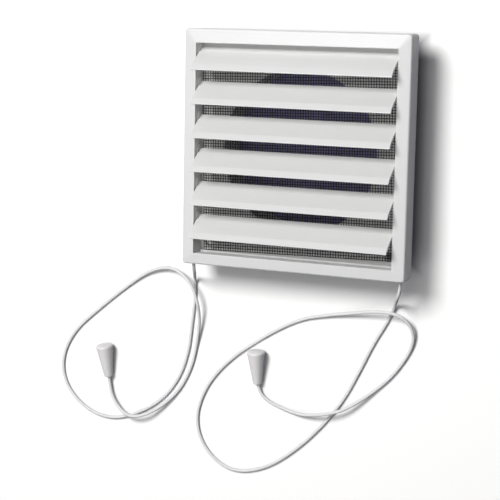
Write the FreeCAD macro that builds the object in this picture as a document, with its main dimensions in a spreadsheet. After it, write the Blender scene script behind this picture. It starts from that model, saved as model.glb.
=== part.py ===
import FreeCAD, Part
import math
import os

import Sketcher

# A square ventilation grille for a round duct, lying on its back on the rim of its spigot.
# +Z points out of its front, +Y to its top edge and +X to its right. Millimetres and degrees.

Vector = FreeCAD.Vector

SIZES = (
    # Outside
    ("frame_width", 140.0),
    ("corner_radius", 2.2),
    ("inner_corner_radius", 0.8),
    ("wall_thickness", 1.8),
    ("edge_rounding", 1.2),
    # Front frame
    ("side_border", 7.6),
    ("top_border", 8.4),
    ("bottom_border", 6.9),
    ("skirt_depth", 7.7),
    ("crown_height", 1.0),
    ("face_thickness", 2.0),
    ("inner_land", 0.5),
    ("inner_wall", 1.4),
    ("ledge_thickness", 1.2),
    ("ledge_height", 1.2),
    ("top_ledge_width", 3.6),
    ("bottom_ledge_width", 1.0),
    ("ledge_clearance", 0.2),
    ("rebate_depth", 0.8),
    ("rebate_clearance", 0.05),
    # Base plate and spigot
    ("spigot_length", 20.5),
    ("spigot_radius", 49.7),
    ("spigot_wall", 1.7),
    ("spigot_chamfer", 0.6),
    ("base_depth", 4.2),
    ("floor_thickness", 1.9),
    ("screw_spacing", 114.0),
    ("screw_hole_diameter", 4.2),
    ("screw_head_diameter", 6.4),
    # Snap hooks
    ("hook_spacing", 72.0),
    ("hook_width", 8.0),
    ("hook_thickness", 1.4),
    ("hook_inset", 2.0),
    ("hook_nose", 0.9),
    ("hook_nose_height", 0.65),
    ("hook_sink", 0.2),
    ("hook_recess", 0.95),
    ("hook_clearance", 0.1),
    # Insect mesh
    ("mesh_thickness", 0.4),
    ("mesh_margin", 0.2),
    ("mesh_edge", 2.0),
    ("mesh_bar", 3.0),
    ("mesh_columns", 11.0),
    ("mesh_rows", 10.0),
    # Bearing rails
    ("rail_thickness", 1.4),
    ("rail_play", 0.1),
    ("bearing_clearance", 0.07),
    # Louvres
    ("blade_end_clearance", 0.4),
    ("nose_end_relief", 0.3),
    ("journal_margin", 0.5),
    ("blade_thickness", 1.5),
    ("first_pivot_drop", 3.9),
    ("last_pivot_margin", 1.7),
    ("pivot_height", 4.45),
    ("pivot_depth", 1.0),
    ("heel_length", 1.6),
    ("heel_step", 0.8),
    ("heel_tongue", 4.0),
    ("heel_ramp", 1.0),
    ("blade_lap", 0.55),
    ("nose_length", 4.0),
    ("nose_drop", 0.95),
    ("nose_thickness", 0.95),
    ("nose_bevel", 0.35),
    ("journal_radius", 3.5),
    ("crank_radius", 2.55),
    ("crank_pin_radius", 0.8),
    ("shown_angle", 53.0),
    ("closed_angle", 6.0),
    ("open_angle", 80.0),
    # Link bars with the socket of each cord
    ("bar_gap", 0.3),
    ("bar_thickness", 1.8),
    ("bar_width", 3.2),
    ("bar_end", 2.0),
    ("hinge_pin_clearance", 0.05),
    ("link_pin_clearance", 0.15),
    ("pin_proud", 0.1),
    ("tail_length", 6.0),
    ("socket_radius", 1.4),
    ("socket_length", 6.0),
    ("socket_depth", 5.0),
    ("socket_gap", 5.2),
    # Cords, their notches and their pulls
    ("cord_diameter", 2.0),
    ("cord_bore_clearance", 0.05),
    ("notch_clearance", 0.3),
    ("cord_height", 5.4),
    ("cord_start_gap", 0.2),
    ("lead_stop_gap", 0.5),
    ("pull_length", 20.6),
    ("pull_dome", 1.0),
    ("pull_narrow_radius", 2.8),
    ("pull_wide_radius", 5.65),
    ("pull_bore_depth", 4.0),
    ("pull_rounding", 0.6),
    ("pull_rim_rounding", 1.3),
    ("pull_approach", 4.0),
    # Cuts reach this far past the material
    ("cut_margin", 1.0),
)

LOUVRE_COUNT = 6
SIDES = (("left", -1), ("right", 1))

doc = FreeCAD.newDocument("ventilation_grille")
sheet = doc.addObject("Spreadsheet::Sheet", "sizes")
for row, (alias, size) in enumerate(SIZES, start=1):
    sheet.set(f"A{row}", alias)
    sheet.set(f"B{row}", str(size))
    sheet.setAlias(f"B{row}", alias)
doc.recompute()

# Levels above the surface that the spigot's rim stands on
WALL_FACE = "sizes.spigot_length"
FLOOR_FRONT = f"({WALL_FACE} + sizes.floor_thickness)"
MESH_FRONT = f"({FLOOR_FRONT} + sizes.mesh_thickness)"
SEAM = f"({WALL_FACE} + sizes.base_depth)"
FACE_EDGE = f"({SEAM} + sizes.skirt_depth)"
FACE_TOP = f"({FACE_EDGE} + sizes.crown_height)"
FACE_UNDER = f"({FACE_TOP} - sizes.face_thickness)"
PIVOT_LEVEL = f"({FLOOR_FRONT} + sizes.pivot_height)"
CORD_LEVEL = f"({WALL_FACE} + sizes.cord_height)"

# Places across the frame
EDGE = "(sizes.frame_width / 2)"
CAVITY = f"({EDGE} - sizes.wall_thickness)"
OPENING_SIDE = f"({EDGE} - sizes.side_border)"
OPENING_TOP = f"({EDGE} - sizes.top_border)"
OPENING_BOTTOM = f"(sizes.bottom_border - {EDGE})"
TOP_WALL = f"({OPENING_TOP} + sizes.inner_wall)"
BOTTOM_WALL = f"({OPENING_BOTTOM} - sizes.inner_wall)"
RAIL_OUTER = f"({OPENING_SIDE} + sizes.rail_thickness)"
BLADE_END = f"({OPENING_SIDE} - sizes.blade_end_clearance)"
LEDGE_END = f"({BLADE_END} - sizes.ledge_clearance)"
BAR_INNER = f"({RAIL_OUTER} + sizes.bar_gap)"
BAR_OUTER = f"({BAR_INNER} + sizes.bar_thickness)"
SOCKET_PLACE = f"({BAR_INNER} + sizes.socket_radius)"
HOOK_PLACES = ("(sizes.hook_spacing / 2)", "(0 - sizes.hook_spacing / 2)")
HOOK_OUTER = f"({CAVITY} - sizes.hook_inset)"
HOOK_INNER = f"({HOOK_OUTER} - sizes.hook_thickness)"
SCREW_PLACES = ("(sizes.screw_spacing / 2)", "(0 - sizes.screw_spacing / 2)")

# Louvre pivots, from the top one down
FIRST_PIVOT = f"({OPENING_TOP} - sizes.first_pivot_drop)"
PITCH = f"(({FIRST_PIVOT} - {OPENING_BOTTOM} - sizes.last_pivot_margin) / {LOUVRE_COUNT})"
BLADE_REACH = f"({PITCH} - sizes.heel_length + sizes.blade_lap)"
CRANK_ANGLE = "((sizes.closed_angle + sizes.open_angle) / 2)"


def value(expression):
    """The number that an expression over the sheet gives."""
    return float(sheet.evalExpression(expression))


def negative(expression):
    """The same place on the other side of the middle."""
    return f"(0 - {expression})"


def sided(side, expression):
    """A place on the right side of the grille, or its mirror on the left."""
    return expression if side > 0 else negative(expression)


def new_body(name):
    body = doc.addObject("PartDesign::Body", name)
    body.Label = name
    return body


def new_sketch(body, plane, name, offset="0"):
    """A sketch on a plane of its body's origin, moved along the plane's normal."""
    sketch = body.newObject("Sketcher::SketchObject", f"{body.Name}_{name}")
    support = next(item for item in body.Origin.OriginFeatures if item.Role == plane)
    sketch.AttachmentSupport = (support, [""])
    sketch.MapMode = "FlatFace"
    sketch.setExpression("AttachmentOffset.Base.z", offset)
    return sketch


def dimension(sketch, constraint, expression):
    """A named dimension of a sketch, tied to the sheet."""
    index = sketch.addConstraint(constraint)
    name = f"size_{index}"
    sketch.renameConstraint(index, name)
    sketch.setExpression(f"Constraints.{name}", expression)


def place_point(sketch, geometry, point, x=None, y=None):
    """Holds one point of a sketch at its distances from the sketch's origin."""
    for kind, expression in (("DistanceX", x), ("DistanceY", y)):
        if expression is not None:
            held = Sketcher.Constraint(kind, -1, 1, geometry, point, value(expression))
            dimension(sketch, held, expression)


def polygon(sketch, corners):
    """A closed outline of straight sides between corners given as pairs of expressions."""
    points = [Vector(value(x), value(y), 0) for x, y in corners]
    first = sketch.GeometryCount
    count = len(points)
    for start, end in zip(points, points[1:] + points[:1]):
        sketch.addGeometry(Part.LineSegment(start, end), False)
    for step in range(count):
        following = first + (step + 1) % count
        sketch.addConstraint(Sketcher.Constraint("Coincident", first + step, 2, following, 1))
    for step, (x, y) in enumerate(corners):
        place_point(sketch, first + step, 1, x, y)


def rectangle(sketch, left, right, bottom, top):
    polygon(sketch, [(left, bottom), (right, bottom), (right, top), (left, top)])


def rounded_rectangle(sketch, left, right, bottom, top, radius):
    """A rectangle with its four sides at the given places and an arc at each corner."""
    x0, x1, y0, y1 = (value(place) for place in (left, right, bottom, top))
    bow = value(radius)
    turn = math.pi / 2
    first = sketch.GeometryCount
    sides = [((x0 + bow, y0), (x1 - bow, y0)), ((x1, y0 + bow), (x1, y1 - bow)),
             ((x1 - bow, y1), (x0 + bow, y1)), ((x0, y1 - bow), (x0, y0 + bow))]
    centres = [(x1 - bow, y0 + bow), (x1 - bow, y1 - bow), (x0 + bow, y1 - bow), (x0 + bow, y0 + bow)]
    for step, (side, centre) in enumerate(zip(sides, centres)):
        start, end = side
        sketch.addGeometry(Part.LineSegment(Vector(*start, 0), Vector(*end, 0)), False)
        corner = Part.Circle(Vector(*centre, 0), Vector(0, 0, 1), bow)
        sketch.addGeometry(Part.ArcOfCircle(corner, (step - 1) * turn, step * turn), False)
    for step, direction in enumerate(("Horizontal", "Vertical", "Horizontal", "Vertical")):
        line = first + 2 * step
        arc = line + 1
        following = first + (2 * step + 2) % 8
        sketch.addConstraint(Sketcher.Constraint(direction, line))
        sketch.addConstraint(Sketcher.Constraint("Tangent", line, 2, arc, 1))
        sketch.addConstraint(Sketcher.Constraint("Tangent", arc, 2, following, 1))
        dimension(sketch, Sketcher.Constraint("Radius", arc, bow), radius)
    place_point(sketch, first, 1, y=bottom)
    place_point(sketch, first + 2, 1, x=right)
    place_point(sketch, first + 4, 1, y=top)
    place_point(sketch, first + 6, 1, x=left)


def rounded_square(sketch, half_width, radius):
    far = negative(half_width)
    rounded_rectangle(sketch, far, half_width, far, half_width, radius)


def circle(sketch, x, y, radius):
    centre = Vector(value(x), value(y), 0)
    index = sketch.addGeometry(Part.Circle(centre, Vector(0, 0, 1), value(radius)), False)
    place_point(sketch, index, 3, x, y)
    dimension(sketch, Sketcher.Constraint("Radius", index, value(radius)), radius)


def arch(sketch, x, foot, springing, radius):
    """A round-topped notch that stands on its foot line."""
    middle = value(x)
    half = value(radius)
    low = value(foot)
    high = value(springing)
    first = sketch.GeometryCount
    round_top = Part.Circle(Vector(middle, high, 0), Vector(0, 0, 1), half)
    sketch.addGeometry(Part.LineSegment(Vector(middle - half, high, 0), Vector(middle - half, low, 0)))
    sketch.addGeometry(Part.LineSegment(Vector(middle - half, low, 0), Vector(middle + half, low, 0)))
    sketch.addGeometry(Part.LineSegment(Vector(middle + half, low, 0), Vector(middle + half, high, 0)))
    sketch.addGeometry(Part.ArcOfCircle(round_top, 0, math.pi))
    sketch.addConstraint(Sketcher.Constraint("Coincident", first, 2, first + 1, 1))
    sketch.addConstraint(Sketcher.Constraint("Coincident", first + 1, 2, first + 2, 1))
    sketch.addConstraint(Sketcher.Constraint("Coincident", first + 2, 2, first + 3, 1))
    sketch.addConstraint(Sketcher.Constraint("Coincident", first + 3, 2, first, 1))
    place_point(sketch, first, 1, f"{x} - {radius}", springing)
    place_point(sketch, first + 1, 1, f"{x} - {radius}", foot)
    place_point(sketch, first + 2, 1, f"{x} + {radius}", foot)
    place_point(sketch, first + 3, 1, f"{x} + {radius}", springing)
    place_point(sketch, first + 3, 3, y=springing)


def pad(body, sketch, length):
    """Material from the sketch along its plane's normal."""
    feature = body.newObject("PartDesign::Pad", f"{sketch.Name}_pad")
    feature.Profile = sketch
    feature.setExpression("Length", length)
    return feature


def pocket(body, sketch, depth=None, forward=False):
    """A cut from the sketch against its normal, or along it; with no depth, through all."""
    feature = body.newObject("PartDesign::Pocket", f"{sketch.Name}_pocket")
    feature.Profile = sketch
    feature.Reversed = forward
    if depth is None:
        feature.Type = "ThroughAll"
    else:
        feature.setExpression("Length", depth)
    return feature


def row_of(body, feature, sketch, direction, length, count):
    """Copies of a feature along an axis of its sketch, the last one at the given length."""
    pattern = body.newObject("PartDesign::LinearPattern", f"{feature.Name}_row")
    pattern.Originals = [feature]
    pattern.Direction = (sketch, [direction])
    pattern.setExpression("Length", length)
    pattern.setExpression("Occurrences", str(count))
    body.Tip = pattern
    return pattern


def edge_names(feature, wanted):
    """Names of a feature's edges whose two ends and middle all pass a test."""
    names = []
    for index, edge in enumerate(feature.Shape.Edges, start=1):
        middle = edge.valueAt((edge.FirstParameter + edge.LastParameter) / 2)
        ends = [vertex.Point for vertex in edge.Vertexes]
        if all(wanted(point) for point in ends + [middle]):
            names.append(f"Edge{index}")
    return names


def soften(body, kind, feature, wanted, size_property, size):
    """A fillet or chamfer on the edges of the latest feature that pass a test."""
    doc.recompute()
    rounding = body.newObject(f"PartDesign::{kind}", f"{body.Name}_{kind.lower()}")
    rounding.Base = (feature, edge_names(feature, wanted))
    rounding.setExpression(size_property, size)
    return rounding


def near(first, second):
    return abs(first - second) < 0.001


def make_front_frame():
    """Raised face and skirt in one moulding, open behind, with the walls that hold the rails."""
    body = new_body("front_frame")
    skirt = new_sketch(body, "XY_Plane", "skirt", SEAM)
    rounded_square(skirt, EDGE, "sizes.corner_radius")
    pad(body, skirt, "sizes.skirt_depth")

    crown_foot = new_sketch(body, "XY_Plane", "crown_foot", FACE_EDGE)
    rounded_square(crown_foot, EDGE, "sizes.corner_radius")
    crown_top = new_sketch(body, "XY_Plane", "crown_top", FACE_TOP)
    land = "sizes.inner_land"
    rounded_rectangle(crown_top, f"(0 - {OPENING_SIDE} - {land})", f"({OPENING_SIDE} + {land})",
                      f"({OPENING_BOTTOM} - {land})", f"({OPENING_TOP} + {land})",
                      "sizes.inner_corner_radius")
    crown = body.newObject("PartDesign::AdditiveLoft", "front_frame_crown")
    crown.Profile = crown_foot
    crown.Sections = [crown_top]
    crown.Ruled = True
    half = value(EDGE)
    face_edge = value(FACE_EDGE)
    outer = soften(body, "Fillet", crown, lambda p: near(p.z, face_edge) and max(abs(p.x), abs(p.y))
                   > half - value("sizes.corner_radius"), "Radius", "sizes.edge_rounding")
    body.Tip = outer

    cavity = new_sketch(body, "XY_Plane", "cavity", SEAM)
    rounded_square(cavity, CAVITY, "sizes.inner_corner_radius")
    pocket(body, cavity, f"{FACE_UNDER} - {SEAM}", forward=True)
    opening = new_sketch(body, "XY_Plane", "opening", FACE_TOP)
    rectangle(opening, negative(OPENING_SIDE), OPENING_SIDE, OPENING_BOTTOM, OPENING_TOP)
    pocket(body, opening)

    rebate = new_sketch(body, "XY_Plane", "rebate", FACE_UNDER)
    clearance = "sizes.rebate_clearance"
    rectangle(rebate, f"(0 - {RAIL_OUTER} - {clearance})", f"({RAIL_OUTER} + {clearance})",
              OPENING_BOTTOM, OPENING_TOP)
    pocket(body, rebate, "sizes.rebate_depth", forward=True)

    walls = new_sketch(body, "XY_Plane", "inner_walls", MESH_FRONT)
    rectangle(walls, negative(RAIL_OUTER), RAIL_OUTER, OPENING_TOP, TOP_WALL)
    rectangle(walls, negative(RAIL_OUTER), RAIL_OUTER, BOTTOM_WALL, OPENING_BOTTOM)
    pad(body, walls, f"{FACE_UNDER} - {MESH_FRONT}")
    ledges = new_sketch(body, "XY_Plane", "ledges", f"{FLOOR_FRONT} + sizes.ledge_height")
    rectangle(ledges, negative(LEDGE_END), LEDGE_END,
              f"({OPENING_TOP} - sizes.top_ledge_width)", OPENING_TOP)
    rectangle(ledges, negative(LEDGE_END), LEDGE_END,
              OPENING_BOTTOM, f"({OPENING_BOTTOM} + sizes.bottom_ledge_width)")
    pad(body, ledges, "sizes.ledge_thickness")

    hook_foot = f"({WALL_FACE} + sizes.hook_sink)"
    tongues = new_sketch(body, "XY_Plane", "hook_tongues", hook_foot)
    noses = new_sketch(body, "XY_Plane", "hook_noses", hook_foot)
    tip = f"({HOOK_OUTER} + sizes.hook_nose)"
    for x in HOOK_PLACES:
        left = f"({x} - sizes.hook_width / 2)"
        right = f"({x} + sizes.hook_width / 2)"
        rectangle(tongues, left, right, HOOK_INNER, HOOK_OUTER)
        rectangle(tongues, left, right, negative(HOOK_OUTER), negative(HOOK_INNER))
        rectangle(noses, left, right, HOOK_INNER, tip)
        rectangle(noses, left, right, negative(tip), negative(HOOK_INNER))
    pad(body, tongues, f"{FACE_UNDER} - {hook_foot}")
    pad(body, noses, "sizes.hook_nose_height")

    notches = new_sketch(body, "XZ_Plane", "cord_notches", f"{CAVITY} - sizes.cut_margin")
    for name, side in SIDES:
        arch(notches, sided(side, SOCKET_PLACE), f"({SEAM} - sizes.cut_margin)", CORD_LEVEL,
             "(sizes.cord_diameter / 2 + sizes.notch_clearance)")
    pocket(body, notches, "sizes.wall_thickness + 2 * sizes.cut_margin", forward=True)
    return body


def make_base_plate():
    """Rear tray with the round way and its spigot, screw holes and catches for the hooks."""
    body = new_body("base_plate")
    block = new_sketch(body, "XY_Plane", "block", WALL_FACE)
    rounded_square(block, EDGE, "sizes.corner_radius")
    pad(body, block, "sizes.base_depth")
    tray = new_sketch(body, "XY_Plane", "tray", SEAM)
    rounded_square(tray, CAVITY, "sizes.inner_corner_radius")
    pocket(body, tray, "sizes.base_depth - sizes.floor_thickness")
    spigot = new_sketch(body, "XY_Plane", "spigot")
    circle(spigot, "0", "0", "sizes.spigot_radius")
    tube = pad(body, spigot, "sizes.spigot_length")
    lead_in = soften(body, "Chamfer", tube, lambda p: near(p.z, 0), "Size", "sizes.spigot_chamfer")
    body.Tip = lead_in
    way = new_sketch(body, "XY_Plane", "duct_way", FACE_TOP)
    circle(way, "0", "0", "(sizes.spigot_radius - sizes.spigot_wall)")
    pocket(body, way)

    screws = new_sketch(body, "XY_Plane", "screws", FLOOR_FRONT)
    for x in SCREW_PLACES:
        for y in SCREW_PLACES:
            circle(screws, x, y, "(sizes.screw_hole_diameter / 2)")
    doc.recompute()
    holes = body.newObject("PartDesign::Hole", "base_plate_screw_holes")
    holes.Profile = screws
    holes.ThreadType = "None"
    holes.DepthType = "ThroughAll"
    holes.setExpression("Diameter", "sizes.screw_hole_diameter")
    holes.HoleCutType = "Countersink"
    holes.HoleCutCustomValues = True
    holes.setExpression("HoleCutDiameter", "sizes.screw_head_diameter")
    holes.HoleCutCountersinkAngle = 90

    slots = new_sketch(body, "XY_Plane", "hook_slots", FLOOR_FRONT)
    recesses = new_sketch(body, "XY_Plane", "hook_recesses", WALL_FACE)
    clearance = "sizes.hook_clearance"
    inner = f"({HOOK_INNER} - {clearance})"
    outer_face = f"({HOOK_OUTER} + {clearance})"
    tip = f"({outer_face} + sizes.hook_nose + {clearance})"
    for x in HOOK_PLACES:
        left = f"({x} - sizes.hook_width / 2 - 2 * {clearance})"
        right = f"({x} + sizes.hook_width / 2 + 2 * {clearance})"
        rectangle(slots, left, right, inner, outer_face)
        rectangle(slots, left, right, negative(outer_face), negative(inner))
        rectangle(recesses, left, right, inner, tip)
        rectangle(recesses, left, right, negative(tip), negative(inner))
    pocket(body, slots)
    pocket(body, recesses, "sizes.hook_recess", forward=True)
    return body


def make_insect_mesh():
    """Screen trapped between the base plate and the rails, with one gap in each cell of a grid."""
    body = new_body("insect_mesh")
    left = f"({RAIL_OUTER} - sizes.mesh_margin)"
    bottom = f"({BOTTOM_WALL} + sizes.mesh_margin)"
    top = f"({TOP_WALL} - sizes.mesh_margin)"
    sheet_outline = new_sketch(body, "XY_Plane", "outline", FLOOR_FRONT)
    rectangle(sheet_outline, negative(left), left, bottom, top)
    pad(body, sheet_outline, "sizes.mesh_thickness")
    cell_width = f"((2 * {left} - 2 * sizes.mesh_edge + sizes.mesh_bar) / sizes.mesh_columns)"
    cell_height = f"(({top} - {bottom} - 2 * sizes.mesh_edge + sizes.mesh_bar) / sizes.mesh_rows)"
    gap_left = f"(sizes.mesh_edge - {left})"
    gap_bottom = f"({bottom} + sizes.mesh_edge)"
    gap = new_sketch(body, "XY_Plane", "gap", MESH_FRONT)
    rectangle(gap, gap_left, f"({gap_left} + {cell_width} - sizes.mesh_bar)",
              gap_bottom, f"({gap_bottom} + {cell_height} - sizes.mesh_bar)")
    cut = pocket(body, gap)
    grid = body.newObject("PartDesign::LinearPattern", "insect_mesh_grid")
    grid.Originals = [cut]
    grid.Direction = (gap, ["H_Axis"])
    grid.Direction2 = (gap, ["V_Axis"])
    grid.setExpression("Length", f"{cell_width} * (sizes.mesh_columns - 1)")
    grid.setExpression("Occurrences", "sizes.mesh_columns")
    grid.setExpression("Length2", f"{cell_height} * (sizes.mesh_rows - 1)")
    grid.setExpression("Occurrences2", "sizes.mesh_rows")
    body.Tip = grid
    return body


def make_bearing_rail(name, side):
    """Upright strip at one side of the opening with a round bearing for every louvre."""
    body = new_body(f"bearing_rail_{name}")
    inner_face = OPENING_SIDE if side > 0 else negative(RAIL_OUTER)
    strip = new_sketch(body, "YZ_Plane", "strip", inner_face)
    rectangle(strip, f"({OPENING_BOTTOM} + sizes.rail_play)", f"({OPENING_TOP} - sizes.rail_play)",
              MESH_FRONT, f"({FACE_UNDER} + sizes.rebate_depth - sizes.rail_play)")
    pad(body, strip, "sizes.rail_thickness")
    bearing = new_sketch(body, "YZ_Plane", "bearing", inner_face)
    last_pivot = f"({FIRST_PIVOT} - {LOUVRE_COUNT - 1} * {PITCH})"
    circle(bearing, last_pivot, PIVOT_LEVEL, "(sizes.journal_radius + sizes.bearing_clearance)")
    hole = pocket(body, bearing, "sizes.rail_thickness", forward=True)
    row_of(body, hole, bearing, "H_Axis", f"{PITCH} * {LOUVRE_COUNT - 1}", LOUVRE_COUNT)
    return body


def crank_place(side):
    """Sketch place of a crank pin beside its pivot, on opposite sides of it at the two ends."""
    across = f"({-side} * sizes.crank_radius * sin({CRANK_ANGLE} * 1deg))"
    depth = f"({side} * sizes.crank_radius * cos({CRANK_ANGLE} * 1deg))"
    return across, depth


def make_louvre(number):
    """Blade with a lapping heel and a dropped nose, round journals and a crank pin at each end.

    It is drawn closed flat about its pivot, and its placement tilts it to the angle shown."""
    body = new_body(f"louvre_{number}")
    heel = "sizes.heel_length"
    reach = negative(BLADE_REACH)
    nose_root = f"({reach} + sizes.nose_length)"
    top = "sizes.pivot_depth"
    heel_top = f"({top} - sizes.heel_step)"
    heel_bottom = f"({heel_top} - sizes.heel_step)"
    step_foot = f"({heel} - sizes.heel_tongue)"
    blade_under = f"({top} - sizes.blade_thickness)"
    nose_top = f"({top} - sizes.nose_drop)"
    section = new_sketch(body, "YZ_Plane", "section", negative(BLADE_END))
    polygon(section, [
        (heel, heel_top),
        (step_foot, heel_top),
        (f"({step_foot} - sizes.heel_ramp)", top),
        (nose_root, top),
        (f"({reach} + sizes.nose_bevel)", nose_top),
        (reach, f"({nose_top} - sizes.nose_bevel)"),
        (f"({reach} + sizes.nose_bevel)", f"({nose_top} - sizes.nose_thickness)"),
        (nose_root, blade_under),
        (step_foot, heel_bottom),
        (heel, heel_bottom),
    ])
    pad(body, section, f"2 * {BLADE_END}")
    # The nose is a little shorter than the heel, so that it passes the journals of the next blade
    relief = new_sketch(body, "XY_Plane", "end_relief", f"({top} + sizes.cut_margin)")
    beside_journal = "(0 - sizes.journal_radius - sizes.journal_margin)"
    short_end = f"({BLADE_END} - sizes.nose_end_relief)"
    for name, side in SIDES:
        ends = (short_end, f"({BLADE_END} + sizes.cut_margin)")
        left, right = ends if side > 0 else (negative(ends[1]), negative(ends[0]))
        rectangle(relief, left, right, f"({reach} - sizes.cut_margin)", beside_journal)
    pocket(body, relief)
    for name, side in SIDES:
        end_face = BLADE_END if side > 0 else negative(RAIL_OUTER)
        journal = new_sketch(body, "YZ_Plane", f"journal_{name}", end_face)
        circle(journal, "0", "0", "sizes.journal_radius")
        pad(body, journal, f"{RAIL_OUTER} - {BLADE_END}")
        pin_end = f"({BAR_OUTER} + sizes.pin_proud)"
        pin_face = RAIL_OUTER if side > 0 else negative(pin_end)
        pin = new_sketch(body, "YZ_Plane", f"pin_{name}", pin_face)
        across, depth = crank_place(side)
        circle(pin, across, depth, "sizes.crank_pin_radius")
        pad(body, pin, f"{pin_end} - {RAIL_OUTER}")
    body.Placement = FreeCAD.Placement(Vector(0, 0, 0), FreeCAD.Rotation(Vector(1, 0, 0), 1))
    body.setExpression("Placement.Base.y", f"{FIRST_PIVOT} - {number - 1} * {PITCH}")
    body.setExpression("Placement.Base.z", PIVOT_LEVEL)
    body.setExpression("Placement.Rotation.Angle", "0 - sizes.shown_angle")
    return body


def crank_pin_from_pivot(side):
    """Where a crank pin lies beside its pivot at the angle shown."""
    turn = f"((sizes.shown_angle - {CRANK_ANGLE}) * 1deg)"
    along = f"({side} * sizes.crank_radius * sin{turn})"
    depth = f"({side} * sizes.crank_radius * cos{turn})"
    return along, depth


def make_link_bar(name, side):
    """Flat bar that ties the crank pins of one side together, with a socket for its cord."""
    body = new_body(f"link_bar_{name}")
    along, depth = crank_pin_from_pivot(side)
    first_pin = f"({FIRST_PIVOT} + {along})"
    last_pin = f"({first_pin} - {LOUVRE_COUNT - 1} * {PITCH})"
    level = f"({PIVOT_LEVEL} + {depth})"
    half = "(sizes.bar_width / 2)"
    socket_top = f"({OPENING_BOTTOM} + sizes.socket_gap + sizes.socket_length / 2)"
    tail_top = f"({socket_top} + sizes.tail_length)"
    inner_face = BAR_INNER if side > 0 else negative(BAR_OUTER)
    strip = new_sketch(body, "YZ_Plane", "strip", inner_face)
    polygon(strip, [
        (f"({first_pin} + sizes.bar_end)", f"({level} - {half})"),
        (f"({first_pin} + sizes.bar_end)", f"({level} + {half})"),
        (tail_top, f"({level} + {half})"),
        (socket_top, f"({CORD_LEVEL} + sizes.socket_radius)"),
        (f"({socket_top} - sizes.socket_length / 2)", f"({CORD_LEVEL} + sizes.socket_radius)"),
        (f"({socket_top} - sizes.socket_length / 2)", f"({CORD_LEVEL} - sizes.socket_radius)"),
        (socket_top, f"({CORD_LEVEL} - sizes.socket_radius)"),
        (tail_top, f"({level} - {half})"),
    ])
    pad(body, strip, "sizes.bar_thickness")

    hinge_hole = new_sketch(body, "YZ_Plane", "hinge_hole", inner_face)
    circle(hinge_hole, first_pin, level, "(sizes.crank_pin_radius + sizes.hinge_pin_clearance)")
    pocket(body, hinge_hole, "sizes.bar_thickness", forward=True)
    link_hole = new_sketch(body, "YZ_Plane", "link_hole", inner_face)
    circle(link_hole, last_pin, level, "(sizes.crank_pin_radius + sizes.link_pin_clearance)")
    hole = pocket(body, link_hole, "sizes.bar_thickness", forward=True)
    row_of(body, hole, link_hole, "H_Axis", f"{PITCH} * {LOUVRE_COUNT - 2}", LOUVRE_COUNT - 1)

    socket_bottom = negative(f"({socket_top} - sizes.socket_length)")
    socket = new_sketch(body, "XZ_Plane", "socket", negative(socket_top))
    circle(socket, sided(side, SOCKET_PLACE), CORD_LEVEL, "sizes.socket_radius")
    pad(body, socket, "sizes.socket_length")
    bore = new_sketch(body, "XZ_Plane", "socket_bore", socket_bottom)
    circle(bore, sided(side, SOCKET_PLACE), CORD_LEVEL,
           "(sizes.cord_diameter / 2 + sizes.cord_bore_clearance)")
    pocket(body, bore, "sizes.socket_depth")
    return body


def lead_drop(side):
    """How far a bar still runs down from the angle shown, to the end of its pull."""
    turn = f"((sizes.{'open' if side < 0 else 'closed'}_angle - {CRANK_ANGLE}) * 1deg)"
    shown = f"((sizes.shown_angle - {CRANK_ANGLE}) * 1deg)"
    return f"({side} * sizes.crank_radius * (sin{shown} - sin{turn}))"


def make_cord_lead(name, side):
    """Inner end of a cord, fixed in the socket of its bar and running down to the notch."""
    socket_bottom = f"({OPENING_BOTTOM} + sizes.socket_gap - sizes.socket_length / 2)"
    bore_end = f"({socket_bottom} + sizes.socket_depth)"
    cord_start = f"(sizes.cord_start_gap - {CAVITY})"
    lead_end = f"({cord_start} + sizes.lead_stop_gap + {lead_drop(side)})"
    lead = doc.addObject("Part::Cylinder", f"cord_lead_{name}")
    lead.Label = f"cord_lead_{name}"
    lead.setExpression("Radius", "sizes.cord_diameter / 2")
    lead.setExpression("Height", f"{bore_end} - {lead_end}")
    lead.Placement = FreeCAD.Placement(Vector(0, 0, 0), FreeCAD.Rotation(Vector(1, 0, 0), 90))
    lead.setExpression("Placement.Base.x", sided(side, SOCKET_PLACE))
    lead.setExpression("Placement.Base.y", bore_end)
    lead.setExpression("Placement.Base.z", CORD_LEVEL)
    return lead


# Where each pull lies: the middle of its narrow end, and the heading of its axis from +Y
PULL_PLACES = {"left": (-135.9, -153.2, 4.9), "right": (-31.8, -146.1, 0.8)}


def pull_axis(name):
    """Middle of a pull's narrow end and the way from it to the wide end, lying on the surface."""
    x, y, heading = PULL_PLACES[name]
    narrow = value("sizes.pull_narrow_radius")
    rise = math.atan2(value("sizes.pull_wide_radius") - narrow, value("sizes.pull_length"))
    turn = math.radians(heading)
    start = Vector(x, y, narrow * math.cos(rise))
    way = Vector(-math.sin(turn) * math.cos(rise), math.cos(turn) * math.cos(rise), math.sin(rise))
    return start, way


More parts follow.
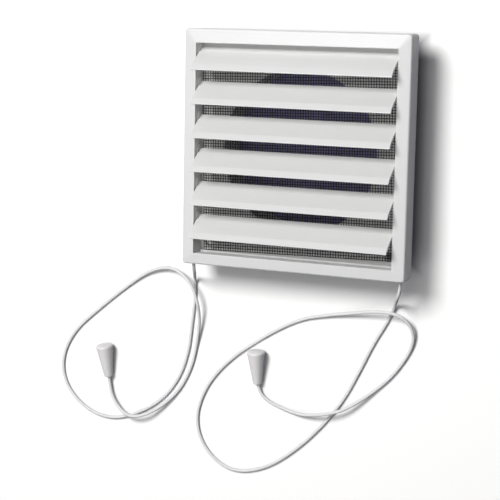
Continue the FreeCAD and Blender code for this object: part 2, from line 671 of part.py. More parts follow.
def make_pull(name):
    """Turned cone with a domed wide end and a bore for the cord in its narrow end."""
    body = new_body(f"pull_{name}")
    bore = "(sizes.cord_diameter / 2 + sizes.cord_bore_clearance)"
    length = "sizes.pull_length"
    section = new_sketch(body, "XZ_Plane", "section")
    corners = [("0", "sizes.pull_bore_depth"), (bore, "sizes.pull_bore_depth"), (bore, "0"),
               ("sizes.pull_narrow_radius", "0"), ("sizes.pull_wide_radius", length),
               ("0", f"({length} + sizes.pull_dome)")]
    points = [Vector(value(x), value(y), 0) for x, y in corners]
    for start, end in zip(points[:4], points[1:5]):
        section.addGeometry(Part.LineSegment(start, end), False)
    dome_radius = (points[4].x ** 2 + value("sizes.pull_dome") ** 2) / (2 * value("sizes.pull_dome"))
    dome_centre = Vector(0, points[5].y - dome_radius, 0)
    dome = Part.Circle(dome_centre, Vector(0, 0, 1), dome_radius)
    dome_edge = math.atan2(points[4].y - dome_centre.y, points[4].x)
    section.addGeometry(Part.ArcOfCircle(dome, dome_edge, math.pi / 2), False)
    section.addGeometry(Part.LineSegment(points[5], points[0]), False)
    dome_side = 4
    for step, (x, y) in enumerate(corners):
        following = (step + 1) % len(corners)
        section.addConstraint(Sketcher.Constraint("Coincident", step, 2, following, 1))
        place_point(section, step, 1, x, y)
    place_point(section, dome_side, 3, x="0")
    turned = body.newObject("PartDesign::Revolution", f"pull_{name}_turned")
    turned.Profile = section
    turned.ReferenceAxis = (section, ["V_Axis"])
    turned.Angle = 360
    wide = value("sizes.pull_wide_radius")
    narrow = value("sizes.pull_narrow_radius")
    rim = soften(body, "Fillet", turned, lambda p: near(math.hypot(p.x, p.y), wide),
                 "Radius", "sizes.pull_rim_rounding")
    rounded = soften(body, "Fillet", rim, lambda p: near(math.hypot(p.x, p.y), narrow)
                     and p.z < narrow, "Radius", "sizes.pull_rounding")
    body.Tip = rounded
    start, way = pull_axis(name)
    body.Placement = FreeCAD.Placement(start, FreeCAD.Rotation(Vector(0, 0, 1), way))
    return body


# Part of its shorter run that each arc of a cord takes up
ARC_SHARE = 0.45

# Route of each cord from its notch over the surface, chosen by hand. The pull's bore follows it.
LEFT_ROUTE = (
    (-65.5, -68, 25.9), (-65.5, -75.5, 25.3), (-70, -78.7, 14.7), (-72, -80.3, 11),
    (-75.1, -82.6, 4), (-76.2, -88.6, 1.1), (-75.8, -94.3, 1.1), (-77, -105.4, 1.1),
    (-78.2, -116.2, 1.1), (-79.9, -131.1, 1.1), (-85.7, -148.5, 1.1), (-97.2, -164, 1.1),
    (-114.7, -175.6, 1.1), (-135, -182.1, 1.1), (-154.9, -176.8, 1.1), (-169.2, -162, 1.1),
    (-171.3, -144.3, 1.1), (-161.9, -126, 1.1), (-143.8, -110.1, 1.1), (-124.6, -94.3, 1.1),
    (-106.4, -81.5, 2.2), (-88.8, -77.8, 5.3), (-75.8, -85.8, 8.8), (-70.8, -97.6, 8.6),
    (-71.2, -111.2, 3.9), (-74.4, -126.5, 1.3), (-77.6, -141, 1.1), (-85.2, -156.1, 1.1),
    (-97.2, -168.5, 2.6), (-109, -175.6, 6.4), (-121.2, -177.4, 6.4), (-133, -168, 2.8),
)
RIGHT_ROUTE = (
    (65.5, -68, 25.9), (65.5, -75.5, 25.3), (62.3, -81.9, 21.2), (59.2, -84.4, 12.2),
    (56.1, -87.5, 4.2), (53.8, -92.5, 1.3), (49.7, -100.9, 1.1), (42, -113.8, 1.1),
    (34.3, -130.4, 1.1), (24.8, -149.4, 1.1), (11.6, -167.4, 1.1), (-6, -185.5, 1.1),
    (-26.6, -200.4, 1.1), (-49, -205.4, 1.1), (-66.7, -194.8, 1.1), (-75, -176, 1.1),
    (-68.9, -154.2, 1.1), (-53.7, -135.1, 1.1), (-31.6, -118.4, 1.1), (-7.5, -104.2, 1.1),
    (10.4, -99.6, 1.7), (29.3, -96, 4.1), (45.2, -92.6, 8), (58.8, -92.9, 8.2),
    (66.8, -100.1, 4.6), (67.4, -112.3, 1.4), (56.1, -130.7, 1.1), (43.5, -142.7, 1.5),
    (31.3, -152.1, 4.6), (22.3, -157, 6.4), (10.1, -160.3, 6.4), (-2.1, -162.4, 3.4),
    (-13.8, -160.6, 1.5), (-26, -156.5, 1.5),
)


def cord_points(name, route):
    """The hand-chosen points, then the last run on the pull's axis to the end of its bore."""
    start, way = pull_axis(name)
    points = [Vector(*point) for point in route]
    points.append(start - way * value("sizes.pull_approach"))
    points.append(start + way * value("sizes.pull_bore_depth"))
    return points


def bend(before, corner, after):
    """The arc at one point of a route: as large as its two runs allow, and its two ends."""
    back = before - corner
    ahead = after - corner
    reach = ARC_SHARE * min(back.Length, ahead.Length)
    back.normalize()
    ahead.normalize()
    turn = math.pi - back.getAngle(ahead)
    radius = reach / math.tan(turn / 2)
    inward = back + ahead
    inward.normalize()
    middle = corner + inward * (radius / math.cos(turn / 2) - radius)
    return corner + back * reach, middle, corner + ahead * reach, radius, turn


def make_cord(name, route):
    """Plain tube of straight runs joined by tangent arcs."""
    points = cord_points(name, route)
    edges = []
    here = points[0]
    radii = []
    for before, corner, after in zip(points, points[1:], points[2:]):
        start, middle, end, radius, turn = bend(before, corner, after)
        edges.append(Part.LineSegment(here, start).toShape())
        edges.append(Part.Arc(start, middle, end).toShape())
        here = end
        radii.append(radius)
    edges.append(Part.LineSegment(here, points[-1]).toShape())
    path = Part.Wire(edges)
    first_way = points[1] - points[0]
    cord_radius = value("sizes.cord_diameter / 2")
    ring = Part.Wire([Part.Circle(points[0], first_way, cord_radius).toShape()])
    tube = path.makePipeShell([ring], True, True)
    expected = math.pi * cord_radius ** 2 * path.Length
    if abs(tube.Volume / expected - 1) > 0.01:
        raise RuntimeError(f"cord_{name}: volume {tube.Volume:.1f}, expected {expected:.1f}")
    print(f"cord_{name}: length {path.Length:.1f} mm, radii", " ".join(f"{r:.1f}" for r in radii))
    cord = doc.addObject("Part::Feature", f"cord_{name}")
    cord.Label = f"cord_{name}"
    cord.Shape = tube
    cord.Placement = FreeCAD.Placement()
    return cord


def make_pieces():
    pieces = [make_front_frame(), make_base_plate(), make_insect_mesh()]
    pieces += [make_bearing_rail(name, side) for name, side in SIDES]
    pieces += [make_louvre(number) for number in range(1, LOUVRE_COUNT + 1)]
    pieces += [make_link_bar(name, side) for name, side in SIDES]
    pieces += [make_cord_lead(name, side) for name, side in SIDES]
    pieces += [make_pull(name) for name, side in SIDES]
    pieces += [make_cord("left", LEFT_ROUTE), make_cord("right", RIGHT_ROUTE)]
    return pieces


def check_pieces(pieces):
    """Stops on a failed object, a bad shape or a cut that removes nothing."""
    for item in doc.Objects:
        if "Invalid" in item.State or "Error" in item.State:
            raise RuntimeError(f"{item.Name} failed: {item.State}")
        if item.TypeId in ("PartDesign::Pocket", "PartDesign::Hole"):
            if item.Shape.Volume >= item.BaseFeature.Shape.Volume - 0.01:
                raise RuntimeError(f"{item.Name} cuts nothing")
    for piece in pieces:
        if piece.Shape.isNull() or not piece.Shape.isValid() or len(piece.Shape.Solids) != 1:
            raise RuntimeError(f"{piece.Label} has no single valid solid")


def export(pieces):
    os.makedirs("parts", exist_ok=True)
    for piece in pieces:
        piece.Shape.exportStep(f"parts/{piece.Label}.step")
        print(f"{piece.Label}: {piece.Shape.Volume:.1f} mm3")


pieces = make_pieces()
doc.recompute()
check_pieces(pieces)
export(pieces)
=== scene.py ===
import math

import bpy
from mathutils import Matrix, Vector


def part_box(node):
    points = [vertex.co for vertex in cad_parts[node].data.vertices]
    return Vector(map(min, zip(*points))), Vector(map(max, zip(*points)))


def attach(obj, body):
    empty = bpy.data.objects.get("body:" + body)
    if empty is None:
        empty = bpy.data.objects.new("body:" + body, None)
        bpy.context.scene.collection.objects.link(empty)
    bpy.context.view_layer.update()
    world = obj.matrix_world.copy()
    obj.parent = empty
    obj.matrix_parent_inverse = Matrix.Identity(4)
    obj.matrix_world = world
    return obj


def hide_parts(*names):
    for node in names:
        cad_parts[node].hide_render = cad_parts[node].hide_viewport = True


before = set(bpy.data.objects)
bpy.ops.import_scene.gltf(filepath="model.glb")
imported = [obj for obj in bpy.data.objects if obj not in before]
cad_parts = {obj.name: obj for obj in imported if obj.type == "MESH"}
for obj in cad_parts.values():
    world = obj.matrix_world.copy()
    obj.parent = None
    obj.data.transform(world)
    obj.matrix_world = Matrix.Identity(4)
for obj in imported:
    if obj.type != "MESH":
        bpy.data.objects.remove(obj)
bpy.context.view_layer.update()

# The looks of a square ventilation grille with tilting louvres: its plastics, its woven insect screen
# and its two braided pull cords. All lengths are in metres.

LEFT, RIGHT = "left", "right"
MM = 0.001
WHITE = (1, 1, 1, 1)

# The camera, as fitted to the photograph: yaw about the grille's own upright, then pitch and roll.
# The fit is taken about the point at this height over the middle of the grille.
CAMERA_YAW = math.radians(23.75)
CAMERA_PITCH = math.radians(8.87)
CAMERA_ROLL = math.radians(-1.13)
CAMERA_SHIFT = Vector((24.73, 55.81, -924.4)) * MM
CAMERA_POINT_HEIGHT = 32.0 * MM
CAMERA_CLIP_END = 20
FOCAL_LENGTH = 115.4
SENSOR_WIDTH = 36.0

# Each cord's route from its notch over the surface to the bore of its pull, in metres
CORD_ROUTES = {
    LEFT: (
        (-0.0655, -0.0680, 0.0259), (-0.0655, -0.0755, 0.0253), (-0.0700, -0.0787, 0.0147),
        (-0.0720, -0.0803, 0.0110), (-0.0751, -0.0826, 0.0040), (-0.0762, -0.0886, 0.0011),
        (-0.0758, -0.0943, 0.0011), (-0.0770, -0.1054, 0.0011), (-0.0782, -0.1162, 0.0011),
        (-0.0799, -0.1311, 0.0011), (-0.0857, -0.1485, 0.0011), (-0.0972, -0.1640, 0.0011),
        (-0.1147, -0.1756, 0.0011), (-0.1350, -0.1821, 0.0011), (-0.1549, -0.1768, 0.0011),
        (-0.1692, -0.1620, 0.0011), (-0.1713, -0.1443, 0.0011), (-0.1619, -0.1260, 0.0011),
        (-0.1438, -0.1101, 0.0011), (-0.1246, -0.0943, 0.0011), (-0.1064, -0.0815, 0.0022),
        (-0.0888, -0.0778, 0.0053), (-0.0758, -0.0858, 0.0088), (-0.0708, -0.0976, 0.0086),
        (-0.0712, -0.1112, 0.0039), (-0.0744, -0.1265, 0.0013), (-0.0776, -0.1410, 0.0011),
        (-0.0852, -0.1561, 0.0011), (-0.0972, -0.1685, 0.0026), (-0.1090, -0.1756, 0.0064),
        (-0.1212, -0.1774, 0.0064), (-0.1330, -0.1680, 0.0028), (-0.1356, -0.1572, 0.0022),
        (-0.1362, -0.1492, 0.0033),
    ),
    RIGHT: (
        (0.0655, -0.0680, 0.0259), (0.0655, -0.0755, 0.0253), (0.0623, -0.0819, 0.0212),
        (0.0592, -0.0844, 0.0122), (0.0561, -0.0875, 0.0042), (0.0538, -0.0925, 0.0013),
        (0.0497, -0.1009, 0.0011), (0.0420, -0.1138, 0.0011), (0.0343, -0.1304, 0.0011),
        (0.0248, -0.1494, 0.0011), (0.0116, -0.1674, 0.0011), (-0.0060, -0.1855, 0.0011),
        (-0.0266, -0.2004, 0.0011), (-0.0490, -0.2054, 0.0011), (-0.0667, -0.1948, 0.0011),
        (-0.0750, -0.1760, 0.0011), (-0.0689, -0.1542, 0.0011), (-0.0537, -0.1351, 0.0011),
        (-0.0316, -0.1184, 0.0011), (-0.0075, -0.1042, 0.0011), (0.0104, -0.0996, 0.0017),
        (0.0293, -0.0960, 0.0041), (0.0452, -0.0926, 0.0080), (0.0588, -0.0929, 0.0082),
        (0.0668, -0.1001, 0.0046), (0.0674, -0.1123, 0.0014), (0.0561, -0.1307, 0.0011),
        (0.0435, -0.1427, 0.0015), (0.0313, -0.1521, 0.0046), (0.0223, -0.1570, 0.0064),
        (0.0101, -0.1603, 0.0064), (-0.0021, -0.1624, 0.0034), (-0.0138, -0.1606, 0.0015),
        (-0.0260, -0.1565, 0.0015), (-0.0317, -0.1501, 0.0022), (-0.0319, -0.1421, 0.0033),
    ),
}
CORD_DIAMETER = 2.0 * MM
CORD_CURVE_ORDER = 3
CORD_CURVE_STEPS = 24
CORD_SIDES = 16
CORD_RING_GAP = 0.5 * MM

# Braid: every other corner of the tube lies in by a share of the radius. In the finish, strands are
# counted round the cord and waves along a metre of it, and tones lie between the shade and the light.
# The grooves between strands are painted darker and the strand tops lighter, as painted shade.
BRAID_RIDGE = 0.035
BRAID_STRANDS = 8.0
BRAID_WAVES = 900.0
BRAID_DEPTH = 0.06 * MM
BRAID_STRENGTH = 0.5
CORD_SHADE = (0.72, 0.72, 0.73, 1)
CORD_LIGHT = (0.92, 0.92, 0.91, 1)
CORD_TONE = 0.82
BRAID_PAINTED_SHADE = 0.12
CORD_CLOUDS = 160.0
CORD_CLOUDS_TONE = 0.06
CORD_ROUGHNESS = 0.62
CORD_CLOUDS_ROUGHNESS = 0.15

# Insect screen: flat coated wires. It was fitted by hand, so it is turned a little.
SCREEN_PITCH = 1.6 * MM
SCREEN_WIRE_WIDTH = 0.44 * MM
SCREEN_WIRE_HEIGHT = 0.20 * MM
SCREEN_WIRE_SIDES = 6
SCREEN_WAVE = 0.10 * MM
SCREEN_TURN = math.radians(1.2)
WIRE_SHADE = (0.018, 0.016, 0.016, 1)
WIRE_LIGHT = (0.040, 0.037, 0.036, 1)
WIRE_CLOUDS = 700.0
WIRE_ROUGHNESS = 0.42
WIRE_CLOUDS_ROUGHNESS = 0.20

# Moulded plastics: light tone, dark tone and least roughness
PLASTICS = {
    "white_plastic": ((0.80, 0.80, 0.79, 1), (0.77, 0.77, 0.765, 1), 0.31),
    "louvre_plastic": ((0.79, 0.79, 0.775, 1), (0.76, 0.76, 0.75, 1), 0.28),
    "plate_plastic": ((0.80, 0.787, 0.775, 1), (0.77, 0.757, 0.745, 1), 0.35),
    "pull_plastic": ((0.93, 0.915, 0.90, 1), (0.90, 0.885, 0.87, 1), 0.20),
}
PLASTIC_OF = {
    "front_frame": "white_plastic",
    "base_plate": "plate_plastic",
    "bearing_rail": "white_plastic",
    "link_bar": "white_plastic",
    "louvre": "louvre_plastic",
    "pull": "pull_plastic",
}
PLASTIC_CLOUDS = 28.0
PLASTIC_SMEARS = 90.0
SMEAR_ROUGHNESS = 0.12
PEEL_COARSE = 1900.0
PEEL_FINE = 5200.0
PEEL_FINE_SHARE = 0.4
PEEL_DEPTH = 0.012 * MM
PEEL_STRENGTH = 0.6

# Floor: pale, with painted shade inside the spigot's rim where a duct's depth would be dark, a painted
# shadow under the grille with a soft edge, and white far away. Its bounce is the tone that the grille
# gets light from.
FLOOR_REACH = 3.0
FLOOR_PALE = (1.20, 1.195, 1.175, 1)
FLOOR_BOUNCE = (0.16, 0.16, 0.19, 1)
DUCT_SHADE_RADIUS = 49.0 * MM
# Painted shade: inside this radius the floor is dark and bluish, standing in for the duct's shaded
# depth.
DUCT_PAINTED_SHADE = (0.42, 0.40, 0.66, 1)
# Painted shadow: the floor under the grille is darker, out to this edge and with this softness.
UNDER_PAINTED_SHADOW = (0.34, 0.34, 0.36, 1)
PAINTED_SHADOW_EDGE = 71.5 * MM
PAINTED_SHADOW_SOFTNESS = 8.0 * MM
FLOOR_FADE_START = 0.25
FLOOR_FADE_LENGTH = 0.20

# Lamps: place, size, power and the point that each one faces
AIM_AT_GRILLE = (0, -0.02, 0.03)
AIM_AT_CORDS = (-0.03, -0.10, 0.01)
LAMPS = {
    "key": ((-0.32, 0.62, 1.25), 0.60, 16.8, AIM_AT_GRILLE),
    "top_fill": ((0.20, 0.30, 1.35), 1.0, 2.5, AIM_AT_GRILLE),
    "front_fill": ((-0.35, -0.60, 1.10), 0.8, 1.9, AIM_AT_CORDS),
}
ROOM_LIGHT = (0.86, 0.88, 1.0, 1)
ROOM_STRENGTH = 0.07


# Nodes and their maths


class Value:
    """A number in a tree of nodes: + - * and / add the Math nodes."""

    def __init__(self, tree, socket):
        self.tree = tree
        self.socket = socket

    def maths(self, operation, first, second=0.0):
        node = self.tree.node("ShaderNodeMath", {"operation": operation}, {0: first, 1: second})
        return Value(self.tree, node.outputs[0])

    def __add__(self, other):
        return self.maths("ADD", self, other)

    def __sub__(self, other):
        return self.maths("SUBTRACT", self, other)

    def __mul__(self, other):
        return self.maths("MULTIPLY", self, other)

    def __truediv__(self, other):
        return self.maths("DIVIDE", self, other)

    def __rsub__(self, other):
        return self.maths("SUBTRACT", other, self)

    def __rtruediv__(self, other):
        return self.maths("DIVIDE", other, self)

    __radd__ = __add__
    __rmul__ = __mul__

    def sine(self):
        return self.maths("SINE", self)

    def unsigned(self):
        return self.maths("ABSOLUTE", self)

    def odd(self):
        """1 for an odd number and 0 for an even one."""
        return self.maths("MODULO", self, 2.0)

    def above(self, limit):
        return self.maths("GREATER_THAN", self, limit)

    def larger(self, other):
        return self.maths("MAXIMUM", self, other)

    def clamped(self):
        return self.maths("MINIMUM", self.larger(0.0), 1.0)


class NodeTree:
    """The nodes of a material, the world or a shape, each from one method."""

    def __init__(self, tree):
        self.tree = tree
        self.tree.nodes.clear()

    def node(self, kind, settings=None, inputs=None):
        """Adds a node: its settings come first, then a value or a link for each socket."""
        node = self.tree.nodes.new(kind)
        for name, setting in (settings or {}).items():
            setattr(node, name, setting)
        for key, given in (inputs or {}).items():
            self.feed(node.inputs[key], given)
        return node

    def feed(self, socket, given):
        if isinstance(given, Value):
            given = given.socket
        if isinstance(given, bpy.types.NodeSocket):
            self.tree.links.new(given, socket)
        else:
            socket.default_value = given


class Finish(NodeTree):
    """One material: a principled surface and the nodes that vary it."""

    def __init__(self, name, constants):
        self.material = bpy.data.materials.new(name)
        self.material.use_nodes = True
        super().__init__(self.material.node_tree)
        self.surface = self.node("ShaderNodeBsdfPrincipled", {}, constants)
        self.output = self.node("ShaderNodeOutputMaterial", {}, {"Surface": self.surface.outputs[0]})

    def place(self):
        return self.node("ShaderNodeTexCoord").outputs["Object"]

    def parts(self, vector):
        """The numbers that a vector is made of."""
        node = self.node("ShaderNodeSeparateXYZ", {}, {0: vector})
        return [Value(self, socket) for socket in node.outputs]

    def noise(self, waves, detail=2.0):
        node = self.node("ShaderNodeTexNoise", {}, {
            "Vector": self.place(), "Scale": waves, "Detail": detail})
        return Value(self, node.outputs["Fac"])

    def blend(self, amount, first, second):
        """A colour between two others."""
        node = self.node("ShaderNodeMix", {"data_type": "RGBA"}, {0: amount, 6: first, 7: second})
        return node.outputs[2]

    def mixed(self, amount, first, second):
        """A surface between two others."""
        return self.node("ShaderNodeMixShader", {}, {
            0: amount, 1: first.outputs[0], 2: second.outputs[0]})

    def bump(self, height, distance, strength):
        node = self.node("ShaderNodeBump", {}, {
            "Height": height, "Distance": distance, "Strength": strength})
        self.feed(self.surface.inputs["Normal"], node.outputs[0])

    def vary(self, **inputs):
        for name, given in inputs.items():
            self.feed(self.surface.inputs[name.replace("_", " ")], given)


def link(name, data):
    piece = bpy.data.objects.new(name, data)
    bpy.context.scene.collection.objects.link(piece)
    return piece


class Shape(NodeTree):
    """A Geometry Nodes tree with named inputs."""

    def __init__(self, name, inputs):
        super().__init__(bpy.data.node_groups.new(name, "GeometryNodeTree"))
        sockets = self.tree.interface
        sockets.new_socket("Geometry", in_out="OUTPUT", socket_type="NodeSocketGeometry")
        self.identifiers = {}
        for title, kind in inputs.items():
            socket = sockets.new_socket(title, in_out="INPUT", socket_type=kind)
            self.identifiers[title] = socket.identifier
        self.given = self.node("NodeGroupInput")
        self.result = self.node("NodeGroupOutput")

    def feed(self, socket, given):
        """A text names one of the tree's own inputs."""
        super().feed(socket, self.given.outputs[given] if isinstance(given, str) else given)

    def number(self, title):
        """One of the tree's own inputs, for maths."""
        return Value(self, self.given.outputs[title])

    def index(self):
        return Value(self, self.node("GeometryNodeInputIndex").outputs[0])

    def vector(self, x=0.0, y=0.0, z=0.0):
        return self.node("ShaderNodeCombineXYZ", {}, {0: x, 1: y, 2: z}).outputs[0]

    def step(self, kind, settings=None, **inputs):
        """Adds a node and gives its geometry; an underscore in a socket's name stands for a space."""
        named = {name.replace("_", " "): given for name, given in inputs.items()}
        return self.node(kind, settings, named).outputs[0]

    def make(self, name, values):
        """A plain mesh object from the tree with the given inputs."""
        piece = link(name, bpy.data.meshes.new(name))
        modifier = piece.modifiers.new("shape", "NODES")
        modifier.node_group = self.tree
        for title, value in values.items():
            modifier[self.identifiers[title]] = value
        bpy.context.view_layer.update()
        evaluated = piece.evaluated_get(bpy.context.evaluated_depsgraph_get())
        mesh = bpy.data.meshes.new_from_object(evaluated)
        piece.modifiers.remove(modifier)
        piece.data = mesh
        return piece


# Finishes


def moulded_plastic(name, light, dark, roughness):
    """Moulded plastic: cloudy tone, a sheen that changes a little and a faint orange peel."""
    finish = Finish(name, {"Specular IOR Level": 0.5, "IOR": 1.49})
    clouds = finish.noise(PLASTIC_CLOUDS, detail=3.0)
    smears = finish.noise(PLASTIC_SMEARS, detail=3.0)
    finish.vary(Base_Color=finish.blend(clouds, dark, light),
                Roughness=roughness + smears * SMEAR_ROUGHNESS)
    peel = finish.noise(PEEL_COARSE) + finish.noise(PEEL_FINE, detail=1.0) * PEEL_FINE_SHARE
    finish.bump(peel, PEEL_DEPTH, PEEL_STRENGTH)
    return finish.material


def screen_finish():
    """Dark coated wire of the insect screen."""
    finish = Finish("screen_wire", {"Specular IOR Level": 0.4})
    clouds = finish.noise(WIRE_CLOUDS)
    finish.vary(Base_Color=finish.blend(clouds, WIRE_SHADE, WIRE_LIGHT),
                Roughness=WIRE_ROUGHNESS + clouds * WIRE_CLOUDS_ROUGHNESS)
    return finish.material


def cord_finish():
    """White braid: crossing strands, from the cord's own coordinates along and around it. Its grooves
    are painted darker as painted shade.
    """
    finish = Finish("braided_cord", {"Sheen Weight": 0.15, "Specular IOR Level": 0.35})
    layout = finish.node("ShaderNodeUVMap", {"uv_map": "UVMap"}).outputs[0]
    along, around, _ = finish.parts(layout)
    round_about = around * (math.tau * BRAID_STRANDS)
    lengthwise = along * (math.tau * BRAID_WAVES)
    weave = (round_about + lengthwise).sine().larger((round_about - lengthwise).sine())
    clouds = finish.noise(CORD_CLOUDS)
    # Painted shade: the colour follows the weave, darker in the grooves and lighter on the strand tops,
    # with random clouds of tone.
    tone_and_groove_shade = CORD_TONE + weave * BRAID_PAINTED_SHADE + clouds * CORD_CLOUDS_TONE
    finish.vary(Base_Color=finish.blend(tone_and_groove_shade, CORD_SHADE, CORD_LIGHT),
                Roughness=CORD_ROUGHNESS + clouds * CORD_CLOUDS_ROUGHNESS)
    finish.bump(weave, BRAID_DEPTH, BRAID_STRENGTH)
    return finish.material


def floor_finish():
    """A floor that looks pale and keeps the shadow, but gives little light back to the grille. It has
    painted shade inside the spigot's rim and a painted shadow under the grille.
    """
    finish = Finish("floor", {"Base Color": FLOOR_BOUNCE, "Roughness": 0.9, "Specular IOR Level": 0.0})
    rays = finish.node("ShaderNodeLightPath")
    seen = Value(finish, rays.outputs["Is Camera Ray"])
    for other in ("Is Glossy Ray", "Is Transmission Ray"):
        seen = seen.larger(rays.outputs[other])
    across, along, _ = finish.parts(finish.place())
    # Painted shadow: the floor is darker under the grille's footprint and fades out at a soft edge.
    painted_shadow = ((PAINTED_SHADOW_EDGE - across.unsigned().larger(along.unsigned())) / PAINTED_SHADOW_SOFTNESS).clamped()
    reach = finish.node("ShaderNodeVectorMath", {"operation": "LENGTH"}, {0: finish.place()})
    away = Value(finish, reach.outputs["Value"])
    far = ((away - FLOOR_FADE_START) / FLOOR_FADE_LENGTH).clamped()
    pale_or_painted_shadow = finish.blend(painted_shadow, FLOOR_PALE, UNDER_PAINTED_SHADOW)
    # Inside the spigot's radius the floor is painted dark, as painted shade for the duct's depth.
    tone = finish.blend(away.above(DUCT_SHADE_RADIUS), DUCT_PAINTED_SHADE, pale_or_painted_shadow)
    near = finish.node("ShaderNodeBsdfDiffuse", {}, {"Color": tone})
    white = finish.node("ShaderNodeEmission", {}, {"Color": WHITE, "Strength": 1.0})
    whole = finish.mixed(seen, finish.surface, finish.mixed(far, near, white))
    finish.feed(finish.output.inputs["Surface"], whole.outputs[0])
    return finish.material


def paint_nodes(finishes):
    """Gives every kept node the finish of its kind."""
    for name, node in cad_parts.items():
        for start, material in finishes.items():
            if name.startswith(start):
                node.data.materials.clear()
                node.data.materials.append(material)


# Cords


def route_line(name, route):
    """The points of the smooth curve that has a route's places as its control points."""
    curve = bpy.data.curves.new(name, "CURVE")
    curve.dimensions = "3D"
    curve.resolution_u = CORD_CURVE_STEPS
    spline = curve.splines.new("NURBS")
    spline.points.add(len(route) - 1)
    for point, place in zip(spline.points, route):
        point.co = (*place, 1.0)
    spline.order_u = CORD_CURVE_ORDER
    spline.use_endpoint_u = True
    line = link(name, curve)
    bpy.context.view_layer.update()
    evaluated = line.evaluated_get(bpy.context.evaluated_depsgraph_get())
    mesh = bpy.data.meshes.new_from_object(evaluated)
    points = [vertex.co.copy() for vertex in mesh.vertices]
    bpy.data.objects.remove(line)
    bpy.data.meshes.remove(mesh)
    return points


def even_points(points, spacing):
    """The same line with evenly spaced points, its two ends kept, and their distance."""
    spans = [(b - a).length for a, b in zip(points, points[1:])]
    count = max(2, round(sum(spans) / spacing))
    step = sum(spans) / count
    result = [points[0].copy()]
    travelled = 0.0
    index = 0
    for number in range(1, count):
        wanted = number * step
        while travelled + spans[index] < wanted:
            travelled += spans[index]
            index += 1
        result.append(points[index].lerp(points[index + 1], (wanted - travelled) / spans[index]))
    result.append(points[-1].copy())
    return result, step


def tube_vertices(points):
    """A ring of corners round each point of a line. Every other corner lies in a little."""
    way = (points[1] - points[0]).normalized()
    across = way.cross(Vector((0, 0, 1))).normalized()
    vertices = []
    for number, point in enumerate(points):
        ahead = points[min(number + 1, len(points) - 1)] - points[max(number - 1, 0)]
        ahead.normalize()
        across = (across - ahead * across.dot(ahead)).normalized()
        upward = ahead.cross(across)
        for side in range(CORD_SIDES):
            turn = math.tau * side / CORD_SIDES
            ridge = 1 - BRAID_RIDGE * ((side + number) % 2)
            spoke = across * math.cos(turn) + upward * math.sin(turn)
            vertices.append(point + spoke * (CORD_DIAMETER / 2 * ridge))
    return vertices


def cord_tube(name, line):
    """Tube along a line, with the low diamond ridges of a braid and a UV map along and around it."""
    points, step = even_points(line, CORD_RING_GAP)
    faces = []
    layout = []
    for number in range(len(points) - 1):
        first = number * CORD_SIDES
        second = first + CORD_SIDES
        here, beyond = number * step, (number + 1) * step
        for side in range(CORD_SIDES):
            following = (side + 1) % CORD_SIDES
            faces.append((first + side, first + following, second + following, second + side))
            low, high = side / CORD_SIDES, (side + 1) / CORD_SIDES
            layout += [(here, low), (here, high), (beyond, high), (beyond, low)]
    last = len(points) - 1
    faces.append(tuple(reversed(range(CORD_SIDES))))
    faces.append(tuple(last * CORD_SIDES + side for side in range(CORD_SIDES)))
    layout += [(0.0, 0.0)] * CORD_SIDES + [(last * step, 0.0)] * CORD_SIDES
    mesh = bpy.data.meshes.new(name)
    mesh.from_pydata(tube_vertices(points), [], faces)
    uv_map = mesh.uv_layers.new(name="UVMap")
    for loop, place in zip(uv_map.data, layout):
        loop.uv = place
    mesh.polygons.foreach_set("use_smooth", [True] * len(faces))
    mesh.update()
    return link(name, mesh), points


def add_cord(side, route, material):
    """The cord leaves through its notch, at the edge of the front frame."""
    cord, points = cord_tube(f"pull_cord_{side}", route_line(f"cord_{side}_line", route))
    cord.data.materials.append(material)
    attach(cord, "casing")
    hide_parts(f"cord_{side}")


# Insect screen


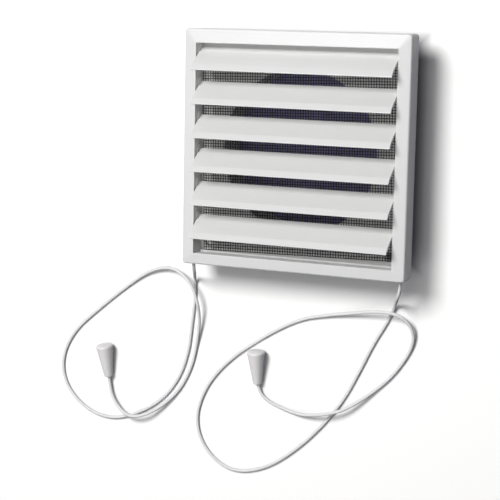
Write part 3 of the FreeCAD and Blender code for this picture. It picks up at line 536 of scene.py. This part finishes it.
def woven_screen():
    """Wires that rise and dip at every crossing, in two directions. Every other wire is turned over."""
    shape = Shape("woven_screen", {
        "Pitch": "NodeSocketFloat", "Columns": "NodeSocketInt", "Rows": "NodeSocketInt",
        "Wire Width": "NodeSocketFloat", "Wire Height": "NodeSocketFloat", "Wave": "NodeSocketFloat",
        "Turn": "NodeSocketFloat", "Centre": "NodeSocketVector", "Material": "NodeSocketMaterial"})
    pitch, wave = shape.number("Pitch"), shape.number("Wave")
    columns, rows = shape.number("Columns"), shape.number("Rows")
    circle = shape.step("GeometryNodeCurvePrimitiveCircle", {"mode": "RADIUS"},
                        Resolution=SCREEN_WIRE_SIDES, Radius=0.5)
    section = shape.step("GeometryNodeTransform", Geometry=circle,
                         Scale=shape.vector("Wire Width", "Wire Height", 1.0))
    joined = shape.node("GeometryNodeJoinGeometry")
    directions = ((columns, rows, 1.0, 0.0), (rows, columns, -1.0, math.pi / 2))
    for along, across, first_dip, angle in directions:
        reach = (along - 1.0) * pitch
        span = (across - 1.0) * pitch
        wire = shape.step("GeometryNodeCurvePrimitiveLine",
                          Start=shape.vector(reach * -0.5), End=shape.vector(reach * 0.5))
        wire = shape.step("GeometryNodeResampleCurve", Curve=wire, Count=along)
        dip = (shape.index().odd() * 2.0 - 1.0) * first_dip
        wire = shape.step("GeometryNodeSetPosition", Geometry=wire, Offset=shape.vector(z=dip * wave))
        wire = shape.step("GeometryNodeSetCurveNormal", {"mode": "Z_UP"}, Curve=wire)
        wire = shape.step("GeometryNodeCurveToMesh", Curve=wire, Profile_Curve=section, Fill_Caps=True)
        places = shape.step("GeometryNodeMeshLine", {"mode": "OFFSET"}, Count=across,
                            Start_Location=shape.vector(y=span * -0.5), Offset=shape.vector(y=pitch))
        wires = shape.step("GeometryNodeInstanceOnPoints", Points=places, Instance=wire,
                           Rotation=shape.vector(shape.index().odd() * math.pi))
        wires = shape.step("GeometryNodeTransform", Geometry=wires, Rotation=(0.0, 0.0, angle))
        shape.feed(joined.inputs[0], wires)
    screen = shape.step("GeometryNodeTransform", Geometry=joined.outputs[0], Translation="Centre",
                        Rotation=shape.vector(z="Turn"))
    screen = shape.step("GeometryNodeRealizeInstances", Geometry=screen)
    screen = shape.step("GeometryNodeSetShadeSmooth", Geometry=screen)
    screen = shape.step("GeometryNodeSetMaterial", Geometry=screen, Material="Material")
    shape.feed(shape.result.inputs[0], screen)
    return shape


def add_screen(material):
    """The screen's top left corner lies in the corner of its recess."""
    low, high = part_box("insect_mesh")
    cosine, sine = math.cos(SCREEN_TURN), math.sin(SCREEN_TURN)
    columns = int((high.x - low.x) / (cosine + sine) / SCREEN_PITCH)
    rows = int((high.y - low.y) / (cosine + sine) / SCREEN_PITCH)
    half_width = columns * SCREEN_PITCH / 2
    half_height = rows * SCREEN_PITCH / 2
    centre = Vector((low.x + half_width * cosine + half_height * sine,
                     high.y - half_width * sine - half_height * cosine,
                     (low.z + high.z) / 2))
    screen = woven_screen().make("woven_screen", {
        "Pitch": SCREEN_PITCH, "Columns": columns, "Rows": rows, "Wire Width": SCREEN_WIRE_WIDTH,
        "Wire Height": SCREEN_WIRE_HEIGHT, "Wave": SCREEN_WAVE, "Turn": SCREEN_TURN, "Centre": centre,
        "Material": material})
    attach(screen, "casing")
    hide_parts("insect_mesh")


# Floor, lamps and camera


def add_floor(material):
    mesh = bpy.data.meshes.new("floor")
    corners = [(FLOOR_REACH * x, FLOOR_REACH * y, 0) for x, y in ((-1, -1), (1, -1), (1, 1), (-1, 1))]
    mesh.from_pydata(corners, [], [(0, 1, 2, 3)])
    mesh.materials.append(material)
    link("floor", mesh)


def add_lamp(name, place, size, power, target):
    data = bpy.data.lights.new(name, "AREA")
    data.shape = "DISK"
    data.size = size
    data.energy = power
    way = (Vector(target) - Vector(place)).to_track_quat("-Z", "Y")
    link(name, data).matrix_world = Matrix.Translation(place) @ way.to_matrix().to_4x4()


def add_world():
    """A dim room that the camera sees as white."""
    world = bpy.data.worlds.new("studio")
    bpy.context.scene.world = world
    world.use_nodes = True
    studio = NodeTree(world.node_tree)
    rays = studio.node("ShaderNodeLightPath")
    room = studio.node("ShaderNodeBackground", {}, {"Color": ROOM_LIGHT, "Strength": ROOM_STRENGTH})
    white = studio.node("ShaderNodeBackground", {}, {"Color": WHITE})
    mix = studio.node("ShaderNodeMixShader", {}, {
        0: rays.outputs["Is Camera Ray"], 1: room.outputs[0], 2: white.outputs[0]})
    studio.node("ShaderNodeOutputWorld", {}, {"Surface": mix.outputs[0]})


def add_camera():
    yaw = Matrix.Rotation(-CAMERA_YAW, 3, "Y")
    pitch = Matrix.Rotation(CAMERA_PITCH, 3, "X")
    roll = Matrix.Rotation(CAMERA_ROLL, 3, "Z")
    facing = (roll @ pitch @ yaw).transposed()
    place = facing @ -CAMERA_SHIFT + Vector((0, 0, CAMERA_POINT_HEIGHT))
    data = bpy.data.cameras.new("photo_camera")
    data.sensor_width = SENSOR_WIDTH
    data.lens = FOCAL_LENGTH
    data.clip_end = CAMERA_CLIP_END
    camera = link("photo_camera", data)
    camera.matrix_world = Matrix.Translation(place) @ facing.to_4x4()
    bpy.context.scene.camera = camera


def main():
    bpy.context.scene.view_settings.view_transform = "Standard"
    add_camera()
    cord = cord_finish()
    for side, route in CORD_ROUTES.items():
        add_cord(side, route, cord)
    add_screen(screen_finish())
    plastics = {name: moulded_plastic(name, *tones) for name, tones in PLASTICS.items()}
    finishes = {start: plastics[name] for start, name in PLASTIC_OF.items()}
    paint_nodes({**finishes, "cord_lead": cord})
    add_floor(floor_finish())
    for name, settings in LAMPS.items():
        add_lamp(name, *settings)
    add_world()


main()
